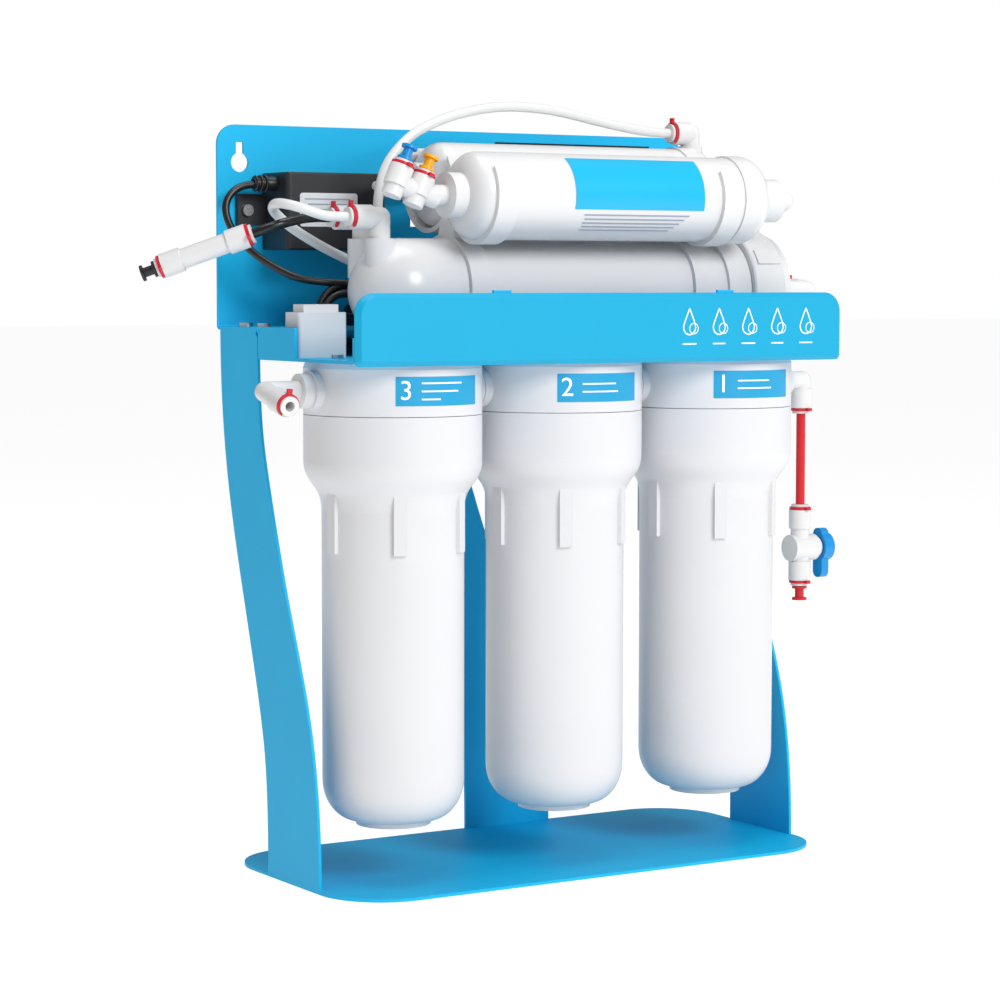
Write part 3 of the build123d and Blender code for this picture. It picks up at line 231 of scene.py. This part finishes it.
# heights, sizes and stand-offs are in mm, turns in degrees
# rules has a row for each head, and a rule is its length and its height from the sticker's middle
sticker = {"low": 307.5, "high": 325.7, "halfTurn": 31.5, "proud": 0.05, "turns": (0, 0, 3.5),
           "digitSize": 17, "digitTurn": -25, "digitThick": 0.5, "digitProud": 0.2,
           "rules": (((25, 2.5), (27, -2.5)), ((25, 2.5), (27, -2.5)), ((30, 5.0), (27, 0), (13, -5.0))),
           "ruleTurn": 15, "ruleHeight": 1.0, "ruleProud": 0.16, "ruleThick": 0.08}
headRadius = (corners("sump_2")[1].x - corners("sump_2")[0].x) / 2
for number, node in ((1, "sump_1"), (2, "sump_2"), (3, "sump_3")):
    centre = middle(node)
    reach = headRadius + sticker["proud"] * mm
    turn = math.radians(sticker["halfTurn"])
    shift = math.radians(sticker["turns"][number - 1])
    way = Vector((math.sin(shift - turn), -math.cos(shift - turn), 0)) * reach
    foot = Vector((centre.x, centre.y, sticker["low"] * mm)) + way
    head = Vector((centre.x, centre.y, sticker["high"] * mm)) + way
    axisFoot = (centre.x, centre.y, 0)
    spunLabel("head_sticker_%d" % number, foot, head, axisFoot, (0, 0, 1), 2 * turn, 28, "labelBlue")
    mesh = flatText(str(number), sticker["digitSize"], sticker["digitThick"])
    zMiddle = (sticker["low"] + sticker["high"]) / 2 * mm
    for vertex in mesh.vertices:
        angle = vertex.co.x / reach + math.radians(sticker["digitTurn"]) + shift
        out = reach + sticker["digitProud"] * mm + vertex.co.z
        vertex.co = (centre.x + out * math.sin(angle), centre.y - out * math.cos(angle),
                     zMiddle + vertex.co.y)
    finishPiece("head_digit_%d" % number, mesh, "printWhite", smooth=False)
    # small print reduced to plain rules
    startTurn = shift - math.radians(sticker["ruleTurn"])
    for row, (length, lift) in enumerate(sticker["rules"][number - 1]):
        along = length * mm / reach
        way = Vector((math.sin(startTurn), -math.cos(startTurn), 0)) * (reach + sticker["ruleProud"] * mm)
        base = Vector((centre.x, centre.y, zMiddle + lift * mm - sticker["ruleHeight"] / 2 * mm)) + way
        spunLabel("head_rule_%d_%d" % (number, row), base, base + Vector((0, 0, sticker["ruleHeight"] * mm)),
                  axisFoot, (0, 0, 1), along, 10, "printWhite", sticker["ruleThick"])
print("stickers on the heads")

# labels on the front in-line filter

# lefts and rights are in mm along the filter, tops, bottoms, steps and heights in degrees round it
label = {"left": -16, "right": 85, "cyanTop": 60, "cyanBottom": -17, "cyanProud": 0.2, "cyanThick": 0.15,
         "rules": 5, "lineLeft": -8, "lineRight": 74, "lineTop": -24, "lineStep": 6, "lineHeight": 1.6,
         "lineProud": 0.15, "lineThick": 0.25, "gap": 0.05}
filterLow, filterHigh = corners("mineral_filter")
filterAxis = Vector((0, (filterLow.y + filterHigh.y) / 2, (filterLow.z + filterHigh.z) / 2))
filterRadius = (filterHigh.y - filterLow.y) / 2


def filterBand(name, left, right, topAngle, bottomAngle, finish, lift, thick):
    # angles are in degrees above the horizontal, seen from the front
    start = math.radians(bottomAngle)
    out = filterRadius + (label["gap"] + lift) * mm
    arm = Vector((0, -math.cos(start) * out, math.sin(start) * out))
    begin = filterAxis + arm + Vector((left * mm, 0, 0))
    close = filterAxis + arm + Vector((right * mm, 0, 0))
    spunLabel(name, begin, close, filterAxis, (-1, 0, 0), math.radians(topAngle - bottomAngle), 24, finish,
              thick)


filterBand("filter_label_cyan", label["left"], label["right"], label["cyanTop"], label["cyanBottom"],
           "labelCyan", label["cyanProud"], label["cyanThick"])
for row in range(label["rules"]):
    top = label["lineTop"] - label["lineStep"] * row
    filterBand("filter_rule_%d" % row, label["lineLeft"] + row % 2, label["lineRight"] - 3 * row, top,
               top - label["lineHeight"], "printGrey", label["lineProud"], label["lineThick"])
print("labels on the filters")

# plain drop signs on the front cover

# in mm; ringRight, ringDown and ruleDown are from the drop's middle, and flat is what is left of its depth
cover = {"drops": 5, "first": 60.3, "step": 23.7, "height": 16.6, "lift": 358.6, "stroke": 0.45, "flat": 0.35,
         "ring": 3.4, "ringRight": 3.4, "ringDown": 4.6, "ringWire": 0.3,
         "ruleDown": 14.5, "ruleSize": (11, 0.3, 0.9)}
coverFace = corners("front_cover")[0].y


def dropSign(name, x, z, height):
    curve = bpy.data.curves.new(name, "CURVE")
    curve.dimensions = "3D"
    line = curve.splines.new("BEZIER")
    line.bezier_points.add(2)
    line.use_cyclic_u = True
    # the top point and the two lower ones, each with its handles, in shares of the height
    half = height * 0.29
    shape = (((0, height * 0.5), (0, height * 0.5), (0, height * 0.5)),
             ((half, -height * 0.2), (half * 0.75, height * 0.06), (half, -height * 0.62)),
             ((-half, -height * 0.2), (-half, -height * 0.62), (-half * 0.75, height * 0.06)))
    for point, (place, before, after) in zip(line.bezier_points, shape):
        point.handle_left_type = point.handle_right_type = "FREE"
        point.co = (place[0] * mm, 0, place[1] * mm)
        point.handle_left = (before[0] * mm, 0, before[1] * mm)
        point.handle_right = (after[0] * mm, 0, after[1] * mm)
    curve.bevel_depth = cover["stroke"] * mm
    curve.bevel_resolution = 2
    holder = bpy.data.objects.new(name, curve)
    bpy.context.scene.collection.objects.link(holder)
    bpy.context.view_layer.update()
    mesh = bpy.data.meshes.new_from_object(holder)
    bpy.data.objects.remove(holder)
    mesh.transform(Matrix.Diagonal((1, cover["flat"], 1, 1)))
    mesh.transform(Matrix.Translation((x * mm, coverFace, z * mm)))
    return finishPiece(name, mesh, "printWhite")


def spunRing(name, centre, axis, radius, thick, finish):
    # a round wire ring about X or Y
    up = Vector((0, 0, 1))
    turned = axis.cross(up).to_track_quat("Z", "Y").to_matrix().to_4x4()
    bm = bmesh.new()
    bmesh.ops.create_circle(bm, segments=10, radius=thick * mm,
                            matrix=Matrix.Translation(centre + up * radius * mm) @ turned)
    bmesh.ops.spin(bm, geom=bm.verts[:] + bm.edges[:], cent=centre, axis=axis, dvec=(0, 0, 0),
                   angle=2 * math.pi, steps=36, use_merge=True, use_duplicate=False)
    return finishPiece(name, fromBmesh(bm, name), finish)


def bar(name, centre, size, finish):
    bm = bmesh.new()
    bmesh.ops.create_cube(bm, size=1)
    bmesh.ops.scale(bm, vec=[side * mm for side in size], verts=bm.verts)
    bmesh.ops.bevel(bm, geom=bm.edges[:], offset=min(size) * 0.2 * mm, affect="EDGES", segments=2,
                    profile=0.5, material=-1)
    bmesh.ops.translate(bm, vec=centre, verts=bm.verts)
    return finishPiece(name, fromBmesh(bm, name), finish, smooth=False)


ruleLength, ruleDepth, ruleHeight = cover["ruleSize"]
for i in range(cover["drops"]):
    x = cover["first"] + cover["step"] * i
    ringMiddle = Vector(((x + cover["ringRight"]) * mm, coverFace, (cover["lift"] - cover["ringDown"]) * mm))
    spunRing("cover_ring_%d" % i, ringMiddle, Vector((0, 1, 0)), cover["ring"], cover["ringWire"],
             "printWhite")
    bar("cover_rule_%d" % i, (x * mm, coverFace, (cover["lift"] - cover["ruleDown"]) * mm),
        (ruleLength - i % 2, ruleDepth, ruleHeight), "printWhite")
    dropSign("cover_drop_%d" % i, x, cover["lift"], cover["height"])
print("signs on the cover")

# adapter label

# in mm; x, z, ruleX and ruleTop are places in the whole object
adapterLabel = {"x": -122.5, "z": 431, "size": (43, 0.2, 22), "corner": 2, "proud": 0.08,
                "rules": 5, "ruleX": -123.5, "ruleTop": 438, "ruleStep": 3.4, "ruleProud": 0.2,
                "ruleSize": (34, 0.2, 0.9), "ruleStagger": 5}
adapterFace = corners("power_adapter")[0].y
bm = bmesh.new()
bmesh.ops.create_cube(bm, size=1)
bmesh.ops.scale(bm, vec=[side * mm for side in adapterLabel["size"]], verts=bm.verts)
bmesh.ops.bevel(bm, geom=[e for e in bm.edges if abs(e.verts[0].co.y - e.verts[1].co.y) > 0.1 * mm],
                offset=adapterLabel["corner"] * mm, affect="EDGES", segments=4, profile=0.5, material=-1)
bmesh.ops.translate(bm, vec=(adapterLabel["x"] * mm, adapterFace - adapterLabel["proud"] * mm,
                             adapterLabel["z"] * mm), verts=bm.verts)
finishPiece("adapter_label", fromBmesh(bm, "adapter_label"), "labelGrey", smooth=False)
ruleLength, ruleDepth, ruleHeight = adapterLabel["ruleSize"]
for row in range(adapterLabel["rules"]):
    bar("adapter_rule_%d" % row, (adapterLabel["ruleX"] * mm, adapterFace - adapterLabel["ruleProud"] * mm,
                                  (adapterLabel["ruleTop"] - adapterLabel["ruleStep"] * row) * mm),
        (ruleLength - adapterLabel["ruleStagger"] * (row % 3), ruleDepth, ruleHeight), "printGrey")

print("label on the adapter")

# moulded ribs on the lead's strain relief

relief = {"ribs": 3, "first": 1.5, "step": 3.4, "radius": 4.3, "growth": 0.35, "thick": 1.0}
reliefLow, reliefHigh = corners("strain_relief")
for i in range(relief["ribs"]):
    centre = Vector((reliefLow.x + (relief["first"] + relief["step"] * i) * mm,
                     (reliefLow.y + reliefHigh.y) / 2, (reliefLow.z + reliefHigh.z) / 2))
    spunRing("relief_rib_%d" % i, centre, Vector((1, 0, 0)), relief["radius"] + relief["growth"] * i,
             relief["thick"], "sheathPvc")
print("ribs on the strain relief")

# mains lead

# in mm: straight is half a turn's straight stretch, outer and inner are the radii of the bends, and layer is
# how far a turn lies in front of the hank's middle or behind it
lead = {"radius": 2.5, "turns": 3, "stepAngle": 30, "straight": 12.0, "outer": 20.3, "inner": 15.0,
        "layer": 2.6}
hankMiddle = middle("lead_hank")
route = [(-153, 74, 448), (-168, 74, 448), (-182, 74, 445), (-191, 73, 434), (-189, 68, 418), (-178, 57, 402),
         (-163, 44, 390), (-151, 33, 384)]
tail = [(-72, 29.5, 366), (-61, 29.5, 364), (-50, 32, 366), (-40, 43, 366), (-37, 56, 363), (-44, 66, 362),
        (-60, 69, 361.5)]


def hankPoint(side, angle, radius, y):
    # side is -1 at the left bend and 1 at the right one, angle is from straight up
    reach = radius / math.cos(math.radians(lead["stepAngle"] / 2)) * mm
    turn = math.radians(angle)
    return Vector((hankMiddle.x + side * lead["straight"] * mm + reach * math.sin(turn), y,
                   hankMiddle.z + reach * math.cos(turn)))


points = [Vector(p) * mm for p in route]
rows = [(lead["outer"], -1), (lead["inner"], -1), (lead["inner"], 1), (lead["outer"], 1)]    # radius, side
bendSteps = 180 // lead["stepAngle"]
for i in range(lead["turns"]):
    radius, layer = rows[i]
    nextRadius, nextLayer = rows[i + 1]
    y = hankMiddle.y + layer * lead["layer"] * mm
    nextY = hankMiddle.y + nextLayer * lead["layer"] * mm
    points += [hankPoint(1, angle, radius, y) for angle in range(0, 181, lead["stepAngle"])]
    for k in range(bendSteps + 1):    # each turn changes place along its left bend
        share = k / bendSteps
        points.append(hankPoint(-1, 180 + k * lead["stepAngle"], radius + (nextRadius - radius) * share,
                                y + (nextY - y) * share))
radius, layer = rows[lead["turns"]]
y = hankMiddle.y + layer * lead["layer"] * mm
points += [hankPoint(1, angle, radius, y) for angle in (0, lead["stepAngle"])]
points += [Vector(p) * mm for p in tail]
curve = bpy.data.curves.new("mains_lead_line", "CURVE")
curve.dimensions = "3D"
line = curve.splines.new("NURBS")
line.points.add(len(points) - 1)
for point, place in zip(line.points, points):
    point.co = (*place, 1)
line.order_u = 3
line.use_endpoint_u = True
curve.resolution_u = 6
curve.bevel_depth = lead["radius"] * mm
curve.bevel_resolution = 5
curve.materials.append(finishes["sheathPvc"])
mainsLead = bpy.data.objects.new("mains_flex", curve)
bpy.context.scene.collection.objects.link(mainsLead)
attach(mainsLead, "unit")
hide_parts("mains_lead", "lead_hank")
print("mains lead laid")

# floor, light and camera

# halfSide is in m and below in mm; glow is the light that keeps the floor as white as the backdrop
ground = {"halfSide": 20, "below": 0.2, "glow": 0.82}
bm = bmesh.new()
bmesh.ops.create_grid(bm, x_segments=1, y_segments=1, size=ground["halfSide"])
bmesh.ops.translate(bm, vec=(0, 0, cadBox[0][2] - ground["below"] * mm), verts=bm.verts)
floorMesh = fromBmesh(bm, "floor")
floor = bpy.data.objects.new("floor", floorMesh)
bpy.context.scene.collection.objects.link(floor)
floorPaint = makeFinish("floorPaint", "#aeaeae", "#adadad", 0.8, 30, 0.01, Emission_Color=(1, 1, 1, 1),
                        Emission_Strength=ground["glow"])
floorMesh.materials.append(floorPaint)

# the backdrop is seen white, but gives only soft fill light
studio = {"fill": 0.3, "seen": 1.0}
world = bpy.data.worlds.new("studio")
bpy.context.scene.world = world
world.use_nodes = True
sky = world.node_tree
seen = addNode(sky, "ShaderNodeLightPath").outputs["Is Camera Ray"]
strength = addNode(sky, "ShaderNodeMapRange", {"Value": seen, "To Min": studio["fill"],
                                                "To Max": studio["seen"]})
sky.nodes["Background"].inputs["Color"].default_value = (1, 1, 1, 1)
sky.links.new(strength.outputs["Result"], sky.nodes["Background"].inputs["Strength"])

# places and sizes in metres
lights = {
    "keyLamp": {"place": (0.25, -2.3, 1.5), "size": 1.0, "watts": 42},
    "sideLamp": {"place": (2.0, -0.6, 1.0), "size": 1.4, "watts": 6},
    "topLamp": {"place": (-0.1, -0.1, 2.2), "size": 1.4, "watts": 20},
}
target = Vector((0, 0, 0.25))
for name, light in lights.items():
    data = bpy.data.lights.new(name, "AREA")
    data.size = light["size"]
    data.energy = light["watts"]
    lamp = bpy.data.objects.new(name, data)
    bpy.context.scene.collection.objects.link(lamp)
    lamp.location = light["place"]
    lamp.rotation_euler = (target - lamp.location).to_track_quat("-Z", "Y").to_euler()

# place in metres, lens in mm, angles in degrees: turned to the right, tipped down, rolled
view = {"place": (-1.0573, -1.6605, 0.3870), "lens": 106.37, "turn": 31.88, "drop": 4.31, "roll": 0.08}
cameraData = bpy.data.cameras.new("camera")
cameraData.lens = view["lens"]
cameraData.sensor_width = 36
camera = bpy.data.objects.new("camera", cameraData)
bpy.context.scene.collection.objects.link(camera)
camera.location = view["place"]
heading = Matrix.Rotation(-math.radians(view["turn"]), 4, "Z")
aim = heading @ Matrix.Rotation(math.radians(90 - view["drop"]), 4, "X")
camera.rotation_euler = (aim @ Matrix.Rotation(math.radians(view["roll"]), 4, "Z")).to_euler()
bpy.context.scene.camera = camera
bpy.context.scene.view_settings.view_transform = "Standard"
print("light and camera set")
